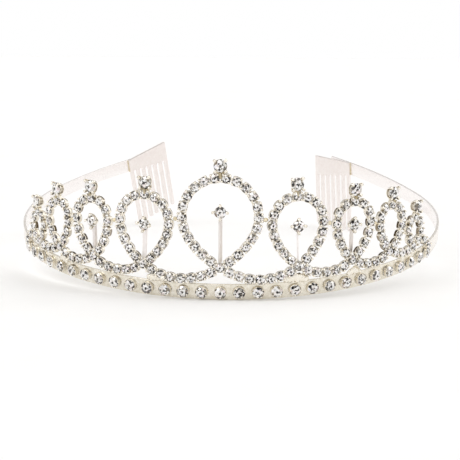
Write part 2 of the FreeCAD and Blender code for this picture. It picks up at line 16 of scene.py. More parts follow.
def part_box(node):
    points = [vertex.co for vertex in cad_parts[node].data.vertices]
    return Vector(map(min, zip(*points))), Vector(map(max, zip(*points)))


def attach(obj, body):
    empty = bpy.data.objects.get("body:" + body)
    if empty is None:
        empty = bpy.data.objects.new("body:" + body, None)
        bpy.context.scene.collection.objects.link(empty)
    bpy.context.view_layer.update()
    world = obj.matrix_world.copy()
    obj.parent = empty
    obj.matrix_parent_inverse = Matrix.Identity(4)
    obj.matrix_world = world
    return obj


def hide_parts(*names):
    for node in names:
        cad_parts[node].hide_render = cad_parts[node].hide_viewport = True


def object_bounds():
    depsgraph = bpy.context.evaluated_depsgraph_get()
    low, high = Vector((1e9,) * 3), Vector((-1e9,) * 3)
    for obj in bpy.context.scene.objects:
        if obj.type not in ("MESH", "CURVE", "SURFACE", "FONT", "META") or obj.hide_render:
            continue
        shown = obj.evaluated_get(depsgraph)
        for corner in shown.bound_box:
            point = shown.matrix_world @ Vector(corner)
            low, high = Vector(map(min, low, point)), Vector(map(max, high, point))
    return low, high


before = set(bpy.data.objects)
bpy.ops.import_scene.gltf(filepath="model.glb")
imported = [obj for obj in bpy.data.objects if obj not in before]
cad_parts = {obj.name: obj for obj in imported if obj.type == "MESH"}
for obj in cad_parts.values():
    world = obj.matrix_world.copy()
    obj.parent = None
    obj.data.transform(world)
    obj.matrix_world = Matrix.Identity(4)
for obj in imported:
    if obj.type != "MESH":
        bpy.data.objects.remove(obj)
cad_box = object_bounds()

BODY = "root"
SIDES = ("left", "right")
MM = 0.001
SEED = 7
FULL_TURN = 2 * math.pi
CORNER = math.pi / 4


def labels_after(prefix):
    """What follows a prefix in the names of the CAD nodes that start with it."""
    return [name[len(prefix):] for name in sorted(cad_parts) if name.startswith(prefix)]


LOOPS = labels_after("loop_cups_")
STEMMED = labels_after("stem_")


# ---------------------------------------------------------------- reading the CAD nodes

# Corners that agree to this many decimals of a metre are one corner.
CORNER_DECIMALS = 7
# How near to the widest point, as a share of its distance, a stone's girdle and a setting's corners lie.
GIRDLE_SHARE = 0.98
CORNER_SHARE = 0.97
# How far a setting's middle lies behind its stone's girdle, as a share of the stone's radius.
SETTING_BEHIND = 0.4
# The front of the band bends round an upright line, a fifth of the way from the origin to the front.
BEND_Y = cad_box[0].y * 0.2


def solids_of(node):
    """The corner points of each separate solid of a CAD node, in metres."""
    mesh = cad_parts[node].data
    corners = np.zeros(len(mesh.vertices) * 3)
    mesh.vertices.foreach_get("co", corners)
    corners = corners.reshape(-1, 3)
    merged, number_of = np.unique(corners.round(CORNER_DECIMALS), axis=0, return_inverse=True)
    number_of = number_of.ravel()
    parent = list(range(len(merged)))

    def find(index):
        """The corner that stands for the whole solid that a corner is part of."""
        while parent[index] != index:
            parent[index] = parent[parent[index]]
            index = parent[index]
        return index

    for polygon in mesh.polygons:
        first, *others = (find(number_of[v]) for v in polygon.vertices)
        for other in others:
            parent[find(other)] = find(first)
    labels = np.array([find(index) for index in range(len(merged))])
    return [merged[labels == label] for label in np.unique(labels)]


def stone_place(points):
    """Where a turned stone sits: its girdle's centre, the way its table faces, and its radius. A stone's
    points spread least along its axis, and its culet lies furthest along it."""
    middle = points.mean(axis=0)
    axes = np.linalg.eigh(np.cov((points - middle).T))[1]
    axis = axes[:, 0]
    along = (points - middle) @ axis
    culet = np.argmax(np.abs(along))
    if along[culet] > 0:
        axis = -axis
        along = -along
    off_axis = np.linalg.norm(points - middle - np.outer(along, axis), axis=1)
    girdle = off_axis > off_axis.max() * GIRDLE_SHARE
    center = middle + axis * along[girdle].mean()
    return center, axis, off_axis.max()


def facing_frame(center, facing):
    """A frame in metres whose Z is the way a stone faces and whose Y leans up as far as it can."""
    z = Vector(facing).normalized()
    x = Vector((0, 0, 1)).cross(z).normalized()
    y = z.cross(x)
    turn = Matrix((x, y, z)).transposed().to_4x4()
    return Matrix.Translation(Vector(center)) @ turn


def facing_out(spot):
    """A frame at a spot on the front of the tiara, facing straight out from the bend of the band."""
    return facing_frame(spot, Vector((spot.x, spot.y - BEND_Y, 0)))


def seen_from(place, points):
    """Points in metres as a frame sees them, in millimetres."""
    back = np.array(place.inverted())
    return (points @ back[:3, :3].T + back[:3, 3]) / MM


def corner_angle(points):
    """The angle, within a quarter turn, at which the outermost points of a four-cornered shape lie."""
    radius = np.hypot(points[:, 0], points[:, 1])
    far = points[radius > radius.max() * CORNER_SHARE]
    quarter = 4 * np.arctan2(far[:, 1], far[:, 0])
    return math.atan2(np.sin(quarter).mean(), np.cos(quarter).mean()) / 4


def jewels_of(stone_node, setting_node):
    """Each stone's place and radius, the turn from there to its setting's corners, and the setting's
    points as they are seen after that turn, in millimetres."""
    settings = solids_of(setting_node)
    middles = np.array([points.mean(axis=0) for points in settings])
    found = []
    for points in solids_of(stone_node):
        center, facing, radius = stone_place(points)
        behind = center - facing * radius * SETTING_BEHIND
        setting = settings[int(np.argmin(np.linalg.norm(middles - behind, axis=1)))]
        place = facing_frame(center, facing)
        turn = Matrix.Rotation(corner_angle(seen_from(place, setting)) - CORNER, 4, "Z")
        found.append({
            "place": place,
            "radius": radius / MM,
            "turn": turn,
            "setting": seen_from(place @ turn, setting),
        })
    return found


# ---------------------------------------------------------------- drawing blanks, in millimetres

# The painted shade of a setting's faces, from 0, darkest, to 1, none: its well, its rims and claws,
# its walls, its basket and its back.
CREVICE = 0.12
UNSHADED = 1.0
WALL = 0.8
BASKET_SHADE = 0.6
BACK = 0.9

# How many points there are round a turned surface, a claw and a rounded square.
TURNED_POINTS = 40
CLAW_POINTS = 8
SQUARE_POINTS = 32


class Blank:
    """A mesh drawn about the origin, before it is set into place. Each face has a shade from 0, dark,
    to 1."""

    def __init__(self):
        self.points = []
        self.faces = []
        self.shades = []

    def add(self, points, faces, shades):
        """More points, with faces that number them from 0, and a shade for each face."""
        start = len(self.points)
        self.points += [tuple(point) for point in points]
        self.faces += [[start + index for index in face] for face in faces]
        self.shades += shades

    def skin(self, rings, shades):
        """A closed surface through rings of points. A first or last ring of one point is a pole, and a
        larger one gets a flat cap."""
        points = [point for ring in rings for point in ring]
        starts = [0]
        for ring in rings:
            starts.append(starts[-1] + len(ring))
        faces = []
        tones = []
        for number, (low, high) in enumerate(zip(rings, rings[1:])):
            count = max(len(low), len(high))
            for index in range(count):
                after = (index + 1) % count
                below = (index, after) if len(low) > 1 else (0,)
                above = (after, index) if len(high) > 1 else (0,)
                face = [starts[number] + corner for corner in below]
                face += [starts[number + 1] + corner for corner in above]
                faces.append(face)
                tones.append(shades[number])
        if len(rings[0]) > 1:
            faces.append(list(range(len(rings[0])))[::-1])
            tones.append(shades[0])
        if len(rings[-1]) > 1:
            faces.append(list(range(starts[-2], starts[-1])))
            tones.append(shades[-1])
        self.add(points, faces, tones)

    def turned(self, profile, shades):
        """A surface turned about Z through (radius, height) points."""
        angles = [FULL_TURN * index / TURNED_POINTS for index in range(TURNED_POINTS)]
        rings = []
        for radius, height in profile:
            if radius == 0:
                rings.append([(0, 0, height)])
            else:
                rings.append([(radius * math.cos(a), radius * math.sin(a), height) for a in angles])
        self.skin(rings, shades)

    def claw(self, angle, path, half_widths, half_depth):
        """A claw swept along (out, height) points at an angle round Z, with an oval section."""
        rings = []
        for number, (out, height) in enumerate(path):
            before = path[max(number - 1, 0)]
            after = path[min(number + 1, len(path) - 1)]
            length = math.hypot(after[0] - before[0], after[1] - before[1])
            normal = ((after[1] - before[1]) / length, -(after[0] - before[0]) / length)
            depth = half_depth * min(1, half_widths[number] / half_widths[0])
            ring = []
            for point in range(CLAW_POINTS):
                turn = FULL_TURN * point / CLAW_POINTS
                across = half_widths[number] * math.cos(turn)
                deep = depth * math.sin(turn)
                x = out + normal[0] * deep
                z = height + normal[1] * deep
                ring.append((
                    x * math.cos(angle) - across * math.sin(angle),
                    x * math.sin(angle) + across * math.cos(angle),
                    z,
                ))
            rings.append(ring[::-1])
        self.skin(rings, [UNSHADED] * (len(rings) - 1))

    def claws(self, path, half_widths, half_depth):
        """The same claw at each of the four corners."""
        for quarter in range(4):
            self.claw(CORNER + quarter * math.pi / 2, path, half_widths, half_depth)


def rounded_square(half, height, dip, squareness):
    """A ring of points round a square with soft corners, lower by dip in the middle of each side. A
    squareness of 2 makes a circle."""
    ring = []
    for index in range(SQUARE_POINTS):
        angle = FULL_TURN * index / SQUARE_POINTS
        across = math.cos(angle)
        up = math.sin(angle)
        reach = half * (abs(across) ** squareness + abs(up) ** squareness) ** (-1 / squareness)
        cornered = abs(math.sin(2 * angle))
        ring.append((reach * across, reach * up, height - dip * (1 - cornered)))
    return ring


# ---------------------------------------------------------------- the cut stone

# A brilliant of radius 1: how far out the table, the star facets' points and the heart of the table
# reach, and the heights of the crown, the pavilion and half the girdle.
TABLE = 0.56
STAR = 0.79
HEART = 0.24
CROWN = 0.34
PAVILION = 0.80
GIRDLE = 0.03
# How far out and how far down the pavilion its facets by the girdle end.
LOWER_OUT = 0.62
LOWER_DOWN = 0.36
# How many times the cut repeats round the stone.
FOLDS = 8

# How often a facet of each kind is nearly black, grey, olive, pale or white in its painted reflection,
# as a light-box crystal shows it: a dark heart, a bright ring round it, and dark dashes towards the edge.
TONES = {"black": 0.03, "grey": 0.3, "olive": 0.48, "pale": 0.72, "white": 0.96}
CHANCES = {
    "heart": {"black": 8, "grey": 2.5, "olive": 0.5, "pale": 1, "white": 0.7},
    "table": {"black": 0.9, "grey": 1.2, "olive": 0.5, "pale": 3.5, "white": 7},
    "star": {"black": 1.4, "grey": 1.8, "olive": 1, "pale": 4, "white": 4.5},
    "kite": {"black": 1.6, "grey": 2, "olive": 1.2, "pale": 4, "white": 3},
    "edge": {"black": 3.4, "grey": 3, "olive": 3, "pale": 2.6, "white": 1.8},
    "back": {"black": 1, "grey": 2, "olive": 1, "pale": 3, "white": 1},
}
# How far one facet's tone strays from its kind's.
TONE_PLAY = 0.06


def cut_stone():
    """A brilliant of radius 1: its points, its facets, and the kind of each facet."""
    points = []
    facets = []
    kinds = []

    def ring(radius, height, count, offset=0.0):
        start = len(points)
        for index in range(count):
            angle = FULL_TURN * (index + offset) / count
            points.append((radius * math.cos(angle), radius * math.sin(angle), height))
        return start

    def facet(kind, *corners):
        facets.append(list(corners))
        kinds.append(kind)

    slope = (CROWN - GIRDLE) / (1 - TABLE)
    star_height = CROWN - (STAR * math.cos(math.pi / FOLDS) - TABLE) * slope
    middle = ring(0, CROWN, 1)
    heart = ring(HEART, CROWN, FOLDS, 0.5)
    table = ring(TABLE, CROWN, FOLDS)
    star = ring(STAR, star_height, FOLDS, 0.5)
    girdle = ring(1, GIRDLE, 2 * FOLDS)
    under = ring(1, -GIRDLE, 2 * FOLDS)
    lower = ring(LOWER_OUT, -PAVILION * LOWER_DOWN, FOLDS, 0.5)
    culet = ring(0, -PAVILION, 1)
    for index in range(FOLDS):
        after = (index + 1) % FOLDS
        before = (index - 1) % FOLDS
        here = 2 * index
        half = here + 1
        whole = (here + 2) % (2 * FOLDS)
        facet("heart", middle, heart + before, heart + index)
        facet("table", heart + before, table + index, heart + index)
        facet("table", heart + index, table + index, table + after)
        facet("star", table + index, star + index, table + after)
        facet("kite", table + index, star + before, girdle + here, star + index)
        facet("edge", star + index, girdle + here, girdle + half)
        facet("edge", star + index, girdle + half, girdle + whole)
        facet("edge", girdle + here, under + here, under + half, girdle + half)
        facet("edge", girdle + half, under + half, under + whole, girdle + whole)
        facet("back", under + here, lower + index, under + half)
        facet("back", under + half, lower + index, under + whole)
        facet("back", under + here, lower + before, culet, lower + index)
    return points, facets, kinds


STONE_POINTS, FACETS, FACET_KINDS = cut_stone()


# ---------------------------------------------------------------- settings

# The band's stones sit this many millimetres nearer to the band than their CAD places, and their
# pavilions have this share of a full cut's depth.
SUNK = 0.5
SHALLOW = 0.5
# The band's cups have these shares of their CAD width and of their CAD reach in front of the girdle.
CUP_WIDTH = 0.95
CUP_REACH = 0.6
# How much deeper than its stone a well is, in millimetres: in the band's cups, and elsewhere.
CUP_PLAY = 0.06
WELL_PLAY = 0.07
# A basket's points within this many millimetres of its back lie on its foot.
FOOT_DEPTH = 0.01
# How far up its stone's crown a claw takes hold, as a share of the crown's height.
GRIP = 0.55


def band_cup(setting, radius):
    """A round cup with a rolled rim and four small claws, standing on the band."""
    outer = np.hypot(setting[:, 0], setting[:, 1]).max() * CUP_WIDTH
    rim = outer * 0.95
    back = setting[:, 2].min() + SUNK
    front = setting[:, 2].max() * CUP_REACH
    well = -PAVILION * SHALLOW * radius - CUP_PLAY
    blank = Blank()
    blank.turned(
        [
            (outer * 1.02, back),
            (outer * 0.97, back + 0.16),
            (outer * 0.96, front - 0.34),
            (outer, front - 0.18),
            (outer * 0.985, front - 0.05),
            (rim, front),
            (outer * 0.92, front - 0.06),
            (radius * 1.01, -0.08),
            (0, well),
        ],
        [BACK, BACK, WALL, UNSHADED, UNSHADED, UNSHADED, CREVICE, CREVICE],
    )
    path = [
        (rim, front - 0.5),
        (rim, front),
        (rim - 0.12, front + 0.16),
        (rim - 0.34, front + 0.14),
        (rim - 0.52, front + 0.02),
    ]
    blank.claws(path, [0.3, 0.3, 0.28, 0.22, 0.08], 0.1)
    return blank


def link_bar(blank, middle, reach, along_x):
    """The flat bar behind a chain cup that joins it to the next ones, along X or Y."""
    section = [(-0.42, 0.0), (-0.3, 0.13), (0.3, 0.13), (0.42, 0.0), (0.3, -0.13), (-0.3, -0.13)]
    ends = []
    for at in (-reach, reach):
        if along_x:
            ends.append([(at, across, middle + height) for across, height in section[::-1]])
        else:
            ends.append([(across, at, middle + height) for across, height in section])
    blank.skin(ends, [BACK])


def chain_cup(setting, radius):
    """A square cup whose walls dip between four claws, with the bar behind that links it on."""
    half = np.abs(setting[setting[:, 2] > 0][:, 0]).max()
    back = setting[:, 2].min()
    tip = setting[:, 2].max()
    well = -PAVILION * radius - WELL_PLAY
    blank = Blank()
    blank.skin(
        [
            rounded_square(half * 0.86, back, 0, 2.6),
            rounded_square(half * 0.97, back + 0.14, 0, 2.8),
            rounded_square(half, -0.1, 0.2, 3),
            rounded_square(half * 0.98, 0.06, 0.24, 3),
            rounded_square(half * 0.91, 0.06, 0.24, 2.8),
            rounded_square(radius * 1.02, -0.12, 0.05, 2),
            [(0, 0, well)],
        ],
        [BACK, WALL, UNSHADED, UNSHADED, CREVICE, CREVICE],
    )
    corner = half * 1.17
    path = [
        (corner * 0.95, -0.85),
        (corner, -0.1),
        (corner, tip * 0.45),
        (corner * 0.93, tip * 0.8),
        (corner * 0.78, tip * 0.83),
        (corner * 0.62, tip * 0.5),
    ]
    blank.claws(path, [0.26, 0.29, 0.29, 0.28, 0.23, 0.09], 0.13)
    widest_x, widest_y = np.abs(setting[:, :2]).max(axis=0)
    link_bar(blank, back + 0.16, max(widest_x, widest_y), widest_x > widest_y)
    return blank


def claw_setting(setting, radius):
    """A turned basket with a gallery ring and four claws bent over the stone's crown."""
    spread = np.hypot(setting[:, 0], setting[:, 1])
    back = setting[:, 2].min()
    base = spread[setting[:, 2] < back + FOOT_DEPTH].max()
    outer = spread.max()
    well = -PAVILION * radius - WELL_PLAY
    blank = Blank()
    blank.turned(
        [
            (base * 0.9, back),
            (base, back + 0.1),
            (base, back + 0.32),
            (base * 0.93, back + 0.4),
            (radius * 0.82, -0.62),
            (radius * 0.97, -0.48),
            (radius, -0.34),
            (radius * 0.99, -0.2),
            (radius * 0.93, -0.16),
            (0, well),
        ],
        [UNSHADED, UNSHADED, BASKET_SHADE, BASKET_SHADE, BASKET_SHADE, UNSHADED, UNSHADED, UNSHADED, CREVICE],
    )
    edge = GIRDLE * radius
    hold = CROWN * radius * GRIP
    path = [
        (base * 0.92, back + 0.12),
        ((base + outer) / 2 - 0.05, (back - 0.4) / 2),
        (outer - 0.14, -0.3),
        (outer + 0.06, edge + 0.05),
        (outer + 0.08, hold + 0.16),
        (outer - 0.14, hold + 0.38),
        (radius * 0.97, hold + 0.34),
        (radius * 0.84, hold + 0.1),
    ]
    blank.claws(path, [0.3, 0.3, 0.35, 0.4, 0.43, 0.41, 0.32, 0.12], 0.19)
    return blank


# ---------------------------------------------------------------- materials

# Painted shade on a metal face by its shade value: black in a crevice, brown beside it, and none at 1.
PAINTED_SHADE = [
    (0.0, (0.02, 0.014, 0.006)),
    (0.35, (0.2, 0.15, 0.09)),
    (0.7, (0.72, 0.7, 0.66)),
    (1.0, (1, 1, 1)),
]
# A facet's painted reflection by its shade value, and the tint of painted fire that its fire value gives
# it.
FACET_REFLECTIONS = [
    (0.0, (0.004, 0.004, 0.004)),
    (0.2, (0.035, 0.033, 0.032)),
    (0.34, (0.17, 0.16, 0.15)),
    (0.48, (0.3, 0.26, 0.19)),
    (0.6, (0.52, 0.5, 0.46)),
    (0.76, (0.84, 0.83, 0.8)),
    (0.9, (1.0, 1.0, 1.0)),
]
FIRE = [
    (0.0, (1.0, 0.86, 0.88)),
    (0.12, (1.0, 0.95, 0.93)),
    (0.3, (1, 1, 1)),
    (0.75, (1, 1, 1)),
    (0.9, (0.95, 0.97, 1.0)),
    (1.0, (0.9, 0.88, 1.0)),
]
# Where the band's painted glare, a paler colour towards the back, starts and ends, as shares of the
# front's distance.
GLARE_START = 0.65
GLARE_END = 0.1


def linked(tree, kind, **inputs):
    """A node with its inputs set, or linked where the value is a socket."""
    node = tree.nodes.new(kind)
    for name, value in inputs.items():
        socket = node.inputs[name.replace("_", " ")]
        if isinstance(value, bpy.types.NodeSocket):
            tree.links.new(value, socket)
        else:
            socket.default_value = value
    return node


def new_material(name):
    """A material with its shader and its object coordinates."""
    material = bpy.data.materials.new(name)
    material.use_nodes = True
    tree = material.node_tree
    shader = tree.nodes["Principled BSDF"]
    place = tree.nodes.new("ShaderNodeTexCoord").outputs["Object"]
    return material, tree, shader, place


def ramp(tree, factor, stops):
    """A colour ramp through (position, colour) stops."""
    node = tree.nodes.new("ShaderNodeValToRGB")
    elements = node.color_ramp.elements
    while len(elements) < len(stops):
        elements.new(0.5)
    for element, (position, color) in zip(elements, stops):
        element.position = position
        element.color = (*color, 1)
    tree.links.new(factor, node.inputs["Fac"])
    return node.outputs["Color"]


def mixed(tree, kind, factor, first, second):
    """Two colours mixed, and the mix's colour socket."""
    node = tree.nodes.new("ShaderNodeMix")
    node.data_type = "RGBA"
    node.blend_type = kind
    # The node has sockets for several kinds of data: 6, 7 and the third output are those for colours.
    for socket, value in ((node.inputs[0], factor), (node.inputs[6], first), (node.inputs[7], second)):
        if isinstance(value, bpy.types.NodeSocket):
            tree.links.new(value, socket)
        else:
            socket.default_value = value
    return node.outputs[2]


def face_value(tree, name):
    """What each face holds under a name, such as its shade."""
    node = tree.nodes.new("ShaderNodeAttribute")
    node.attribute_name = name
    return node.outputs["Fac"]


def uneven_polish(tree, shader, place, roughness):
    """Roughness that wanders about its middle value."""
    cloud = linked(tree, "ShaderNodeTexNoise", Vector=place, Scale=1500.0, Detail=3.0)
    spread = linked(
        tree,
        "ShaderNodeMapRange",
        Value=cloud.outputs["Fac"],
        To_Min=roughness * 0.75,
        To_Max=roughness * 1.35,
    )
    tree.links.new(spread.outputs["Result"], shader.inputs["Roughness"])


def fine_scratches(tree, shader, place, grain):
    """Bump from a fine grain that is drawn out sideways."""
    stretch = linked(tree, "ShaderNodeMapping", Vector=place, Scale=(1.0, 1.0, 5.0))
    scratches = linked(
        tree,
        "ShaderNodeTexNoise",
        Vector=stretch.outputs["Vector"],
        Scale=grain,
        Detail=4.0,
        Roughness=0.7,
    )
    bump = linked(
        tree, "ShaderNodeBump", Height=scratches.outputs["Fac"], Strength=0.2, Distance=0.00004
    )
    tree.links.new(bump.outputs["Normal"], shader.inputs["Normal"])


def plated_metal(name, bright, dull, roughness, grain, shaded=False, rear_glare=None):
    """Plated metal: cloudy colour, uneven polish and fine scratches. Where shaded, its faces get painted
    shade by their shade values. Where a glare colour is given, it takes over towards the back: painted
    glare."""
    material, tree, shader, place = new_material(name)
    clouds = linked(tree, "ShaderNodeTexNoise", Vector=place, Scale=900.0, Detail=5.0, Roughness=0.6)
    color = ramp(tree, clouds.outputs["Fac"], [(0.2, dull), (0.7, bright)])
    # Painted glare: towards the back the colour turns pale.
    if rear_glare:
        share = linked(
            tree,
            "ShaderNodeMapRange",
            Value=linked(tree, "ShaderNodeSeparateXYZ", Vector=place).outputs["Y"],
            From_Min=cad_box[0].y * GLARE_START,
            From_Max=cad_box[0].y * GLARE_END,
        )
        color = mixed(tree, "MIX", share.outputs["Result"], color, (*rear_glare, 1))
    if shaded:
        # Painted shade: each face is darkened by its shade value.
        color = mixed(tree, "MULTIPLY", 1.0, color, ramp(tree, face_value(tree, "shade"), PAINTED_SHADE))
    tree.links.new(color, shader.inputs["Base Color"])
    shader.inputs["Metallic"].default_value = 1.0
    uneven_polish(tree, shader, place, roughness)
    fine_scratches(tree, shader, place, grain)
    return material


def foiled_crystal():
    """Silver-foiled crystal: each facet has its own painted reflection and a little painted fire, with a
    glassy surface.
    """
    material, tree, shader, place = new_material("foiled_crystal")
    tone = ramp(tree, face_value(tree, "shade"), FACET_REFLECTIONS)
    fire = ramp(tree, face_value(tree, "fire"), FIRE)
    color = mixed(tree, "MULTIPLY", 1.0, tone, fire)
    smear = linked(tree, "ShaderNodeTexNoise", Vector=place, Scale=2600.0, Detail=2.0)
    depth = ramp(tree, smear.outputs["Fac"], [(0.35, (0.7, 0.69, 0.67)), (0.55, (1, 1, 1))])
    tree.links.new(mixed(tree, "MULTIPLY", 0.6, color, depth), shader.inputs["Base Color"])
    shader.inputs["Metallic"].default_value = 0.6
    shader.inputs["Roughness"].default_value = 0.07
    shader.inputs["IOR"].default_value = 1.56
    shader.inputs["Coat Weight"].default_value = 0.6
    shader.inputs["Coat Roughness"].default_value = 0.02
    return material


SILVER = (0.94, 0.9, 0.82)
HONEY = (0.66, 0.6, 0.47)
IVORY = (0.9, 0.84, 0.72)
PALE = (0.97, 0.94, 0.93)
PEARL = (0.93, 0.885, 0.865)
ROSE = (0.87, 0.81, 0.78)
BLUSH = (0.92, 0.87, 0.85)
SOLDER = (0.9, 0.84, 0.68)
FLUX = (0.66, 0.52, 0.28)

METALS = {
    "band": plated_metal("band_plating", SILVER, HONEY, 0.24, 3000.0, rear_glare=PALE),
    "cups": plated_metal("cup_plating", SILVER, IVORY, 0.18, 5200.0, shaded=True),
    "comb": plated_metal("comb_plating", PEARL, ROSE, 0.3, 2400.0),
    "stem": plated_metal("stem_plating", PALE, BLUSH, 0.5, 2600.0),
    "solder": plated_metal("solder_metal", SOLDER, FLUX, 0.34, 1800.0, shaded=True),
}
CRYSTAL = foiled_crystal()


# ---------------------------------------------------------------- setting pieces into place

# Edges of a smooth mesh that turn by more than this many degrees stay sharp.
SHARP_ANGLE = 48
# The fire that leaves a face its own colour.
NO_FIRE = 0.5


class Piece:
    """One mesh made of many blanks, each at its own place."""

    def __init__(self, name):
        self.name = name
        self.points = []
        self.faces = []
        self.attributes = {"shade": [], "fire": []}

    def add(self, place, blank, fires=None):
        """A blank set into a place, with a fire for each face where it has any."""
        start = len(self.points)
        self.points += [place @ (Vector(point) * MM) for point in blank.points]
        self.faces += [[start + index for index in face] for face in blank.faces]
        self.attributes["shade"] += blank.shades
        self.attributes["fire"] += fires or [NO_FIRE] * len(blank.faces)

    def finish(self, material, nodes, smooth):
        """The piece as a Blender object, which rides on the body and hides the CAD nodes it replaces, if
        any.
        """
        mesh = bpy.data.meshes.new(self.name)
        mesh.from_pydata(self.points, [], self.faces)
        for name, values in self.attributes.items():
            mesh.attributes.new(name, "FLOAT", "FACE").data.foreach_set("value", values)
        mesh.polygons.foreach_set("use_smooth", [smooth] * len(mesh.polygons))
        if smooth:
            mesh.set_sharp_from_angle(angle=math.radians(SHARP_ANGLE))
        mesh.materials.append(material)
        mesh.update()
        piece = bpy.data.objects.new(self.name, mesh)
        bpy.context.scene.collection.objects.link(piece)
        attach(piece, BODY)
        if nodes:
            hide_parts(*nodes)


# ---------------------------------------------------------------- jewels

# How far the painted shade on the wall under a setting's rim is scaled: most walls get little, and a
# few are painted nearly black.
WALL_SHADE_SCALES = (1.15, 1.15, 1.1, 1.0, 0.8, 0.55, 0.2)
# How far a stone and its cup stray from their place, in degrees.
TURN_PLAY = 2.5
TILT_PLAY = 2.2


def facet_looks(chance):
    """A painted reflection and a little painted fire for every facet of one stone."""
    shades = []
    fires = []
    for kind in FACET_KINDS:
        odds = CHANCES[kind]
        tone = chance.choices(list(TONES), weights=[odds[name] for name in TONES])[0]
        shades.append(min(1.0, max(0.0, TONES[tone] + chance.uniform(-TONE_PLAY, TONE_PLAY))))
        fires.append(chance.random())
    return shades, fires


def sized_stone(radius, pavilion, shades):
    """A stone of a radius in millimetres whose pavilion has a share of a full cut's depth."""
    points = []
    for x, y, z in STONE_POINTS:
        depth = pavilion if z < -GIRDLE else 1
        points.append((x * radius, y * radius, z * radius * depth))
    stone = Blank()
    stone.add(points, FACETS, shades)
    return stone


def set_by_hand(chance):
    """The small turn and tilt that a stone gets when its cup is pressed and soldered."""
    turn = Matrix.Rotation(math.radians(chance.gauss(0, TURN_PLAY)), 4, "Z")
    nod = Matrix.Rotation(math.radians(chance.gauss(0, TILT_PLAY)), 4, "X")
    sway = Matrix.Rotation(math.radians(chance.gauss(0, TILT_PLAY)), 4, "Y")
    return turn @ nod @ sway


def jewel_row(settings_node, stones_node, draw, sunk=0.0, pavilion=1.0):
    """Settings and stones for a pair of CAD nodes."""
    chance = random.Random(f"{SEED} {settings_node}")
    settings = Piece(settings_node.replace("cups", "settings"))
    stones = Piece(stones_node.replace("stones", "crystals").replace("stone", "crystal"))
    if settings.name == settings_node:
        settings.name = f"{settings_node}_claws"
    for jewel in jewels_of(stones_node, settings_node):
        place = jewel["place"] @ Matrix.Translation((0, 0, -sunk * MM)) @ set_by_hand(chance)
        setting = draw(jewel["setting"], jewel["radius"])
        # Painted shade on the walls, scaled once for each setting.
        wall = chance.choice(WALL_SHADE_SCALES)
        setting.shades = [min(1.0, shade * wall) if shade == WALL else shade for shade in setting.shades]
        settings.add(place @ jewel["turn"], setting)
        shades, fires = facet_looks(chance)
        spin = Matrix.Rotation(chance.uniform(0, FULL_TURN / FOLDS), 4, "Z")
        stones.add(place @ spin, sized_stone(jewel["radius"], pavilion, shades), fires)
    settings.finish(METALS["cups"], [settings_node], True)
    stones.finish(CRYSTAL, [stones_node], False)


# ---------------------------------------------------------------- solder

# A drop of solder: its points from pole to pole and round it, and how far and how finely it swells.
DROP_RINGS = 9
DROP_POINTS = 16
DROP_SWELL = 0.3
DROP_GRAIN = 1.6
# How far apart in the noise two drops may be.
NOISE_REACH = 50

# A bead this near to a crown setting is its neck, in millimetres. Necks and beads are stretched
# sideways by something between these shares.
NECK_REACH = 4
NECK_WIDTH = (1.5, 1.9)
BEAD_WIDTH = (0.9, 1.1)
# Solder under a crown setting runs down in front, between the two chain cups below: millimetres.
WEDGE_RADIUS = 0.62
WEDGE_STRETCH = (0.85, 1.7, 0.8)
WEDGE_SHIFT = Vector((0.0, -1.0, 0.75)) * MM

# Solder that fills the gap between a loop's foot and the band: the loop, how far to the side of the
# foot the solder lies, and its half width, in millimetres.
MOUNDS = (("right_1", -0.6, 3.0), ("right_2", 1.6, 2.0), ("left_1", 4.0, 2.2), ("left_3", 1.0, 1.7))
MOUND_DROPS = 7
# Where its drops lie from the foot, up and out, in millimetres. The middle one rises by MOUND_RISE, and
# those at the ends by a share MOUND_TAPER less. Each leans by up to MOUND_LEAN radians.
MOUND_UP = (-4.3, -4.0)
MOUND_OUT = (-1.0, -0.8)
MOUND_RISE = 0.9
MOUND_TAPER = 0.75
MOUND_LEAN = 0.4
# A drop's least radius, in millimetres, and the share of the half width that is added to it.
MOUND_RADIUS = 0.5
MOUND_GROWTH = 0.2

# The seam on a comb: its drops, their least and greatest radius, how far they stray along the comb,
# and the height of the strip whose end they hold, in millimetres.
SEAM_DROPS = 6
SEAM_RADIUS = (0.32, 0.44)
SEAM_PLAY = 0.1
STRIP_HEIGHT = 4.8


def blob(chance, radius, stretch, shade):
    """An uneven drop of solder about the origin, stretched by (across, up, out)."""
    seed = Vector((chance.random(), chance.random(), chance.random())) * NOISE_REACH
    rings = []
    for number in range(DROP_RINGS + 1):
        polar = math.pi * number / DROP_RINGS
        count = 1 if number in (0, DROP_RINGS) else DROP_POINTS
        ring = []
        for point in range(count):
            angle = FULL_TURN * point / DROP_POINTS
            flat = math.sin(polar)
            way = Vector((flat * math.cos(angle), flat * math.sin(angle), -math.cos(polar)))
            swell = radius * (1 + DROP_SWELL * noise.noise(way * DROP_GRAIN + seed))
            ring.append(tuple(value * size * swell for value, size in zip(way, stretch)))
        rings.append(ring)
    blank = Blank()
    blank.skin(rings, [shade] * DROP_RINGS)
    return blank


def solder_blobs():
    """Uneven blobs over the CAD's round beads: a wide neck under a crown stone, a small one elsewhere."""
    chance = random.Random(f"{SEED} solder")
    piece = Piece("solder_blobs")
    crowns = [sum(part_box(f"crown_setting_{label}"), Vector()) / 2 for label in LOOPS]
    for points in solids_of("solder_beads"):
        center = Vector(points.mean(axis=0))
        radius = np.linalg.norm(points - np.array(center), axis=1).max() / MM
        place = facing_out(center)
        if min((center - crown).length for crown in crowns) < NECK_REACH * MM:
            # A neck gets a little painted shade, and the run below it more.
            piece.add(place, blob(chance, radius, (chance.uniform(*NECK_WIDTH), 1.15, 0.9), 0.8))
            run = blob(chance, WEDGE_RADIUS, WEDGE_STRETCH, 0.66)
            piece.add(place @ Matrix.Translation(WEDGE_SHIFT), run)
        else:
            piece.add(place, blob(chance, radius, (chance.uniform(*BEAD_WIDTH), 0.8, 0.8), 1.0))
    piece.finish(METALS["solder"], ["solder_beads"], True)


